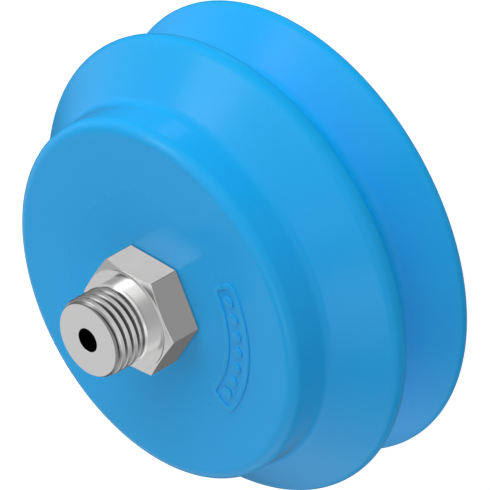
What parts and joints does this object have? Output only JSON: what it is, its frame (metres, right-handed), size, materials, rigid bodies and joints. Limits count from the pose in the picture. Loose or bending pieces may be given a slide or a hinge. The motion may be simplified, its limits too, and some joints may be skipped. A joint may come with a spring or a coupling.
{
  "type": "bellows suction cup",
  "caption": "Round vacuum suction cup with a folded polyurethane bellows and a male pipe-thread nipple through its crown.",
  "frame": {"origin": "centre of the circle on which the sealing lip rests", "axes": "+Z along the cup's axis, from the lip to the thread; two of the hexagon's flats face +Y and -Y"},
  "size_m": [0.0762, 0.0762, 0.0451],
  "materials": {
    "polyurethane": "satin moulded polyurethane, sky blue, opaque",
    "nipple_metal": "fine-turned and clear-anodised, bright, with faint turning marks",
    "plate_metal": "blanked disc, satin",
    "nut_metal": "zinc-plated steel, satin"
  },
  "bodies": {
    "fitting": {"threaded_nipple": "nipple_metal", "support_plate": "plate_metal", "clamp_nut": "nut_metal", "cup_crown": "polyurethane", "neck_wall": "polyurethane"},
    "neck": {"neck_ring": "polyurethane", "upper_wall": "polyurethane"},
    "fold": {"bellows_crest": "polyurethane", "lower_wall": "polyurethane"},
    "waist": {"waist_ring": "polyurethane", "skirt_wall": "polyurethane"},
    "lip": {"sealing_lip": "polyurethane"}
  },
  "joints": [
    {"name": "neck_tilt", "type": "hinge", "parent": "fitting", "child": "neck", "pos_m": [0, 0, 0.0265], "axis": [0, 1, 0], "range_deg": [-2.5, 2.5], "stiffness_Nm_per_rad": 6, "deforming": ["neck_wall"]},
    {"name": "upper_fold", "type": "slide", "parent": "neck", "child": "fold", "axis": [0, 0, 1], "range_m": [0, 0.005], "stiffness_N_per_m": 3000, "deforming": ["upper_wall"]},
    {"name": "fold_tilt", "type": "hinge", "parent": "fold", "child": "waist", "pos_m": [0, 0, 0.0121], "axis": [1, 0, 0], "range_deg": [-2.5, 2.5], "stiffness_Nm_per_rad": 6, "deforming": ["lower_wall"]},
    {"name": "skirt_fold", "type": "slide", "parent": "waist", "child": "lip", "axis": [0, 0, 1], "range_m": [0, 0.0044], "stiffness_N_per_m": 3000, "deforming": ["skirt_wall"]}
  ],
  "couplings": [
    {"joint": "skirt_fold", "follows": "upper_fold", "ratio": 0.88}
  ]
}
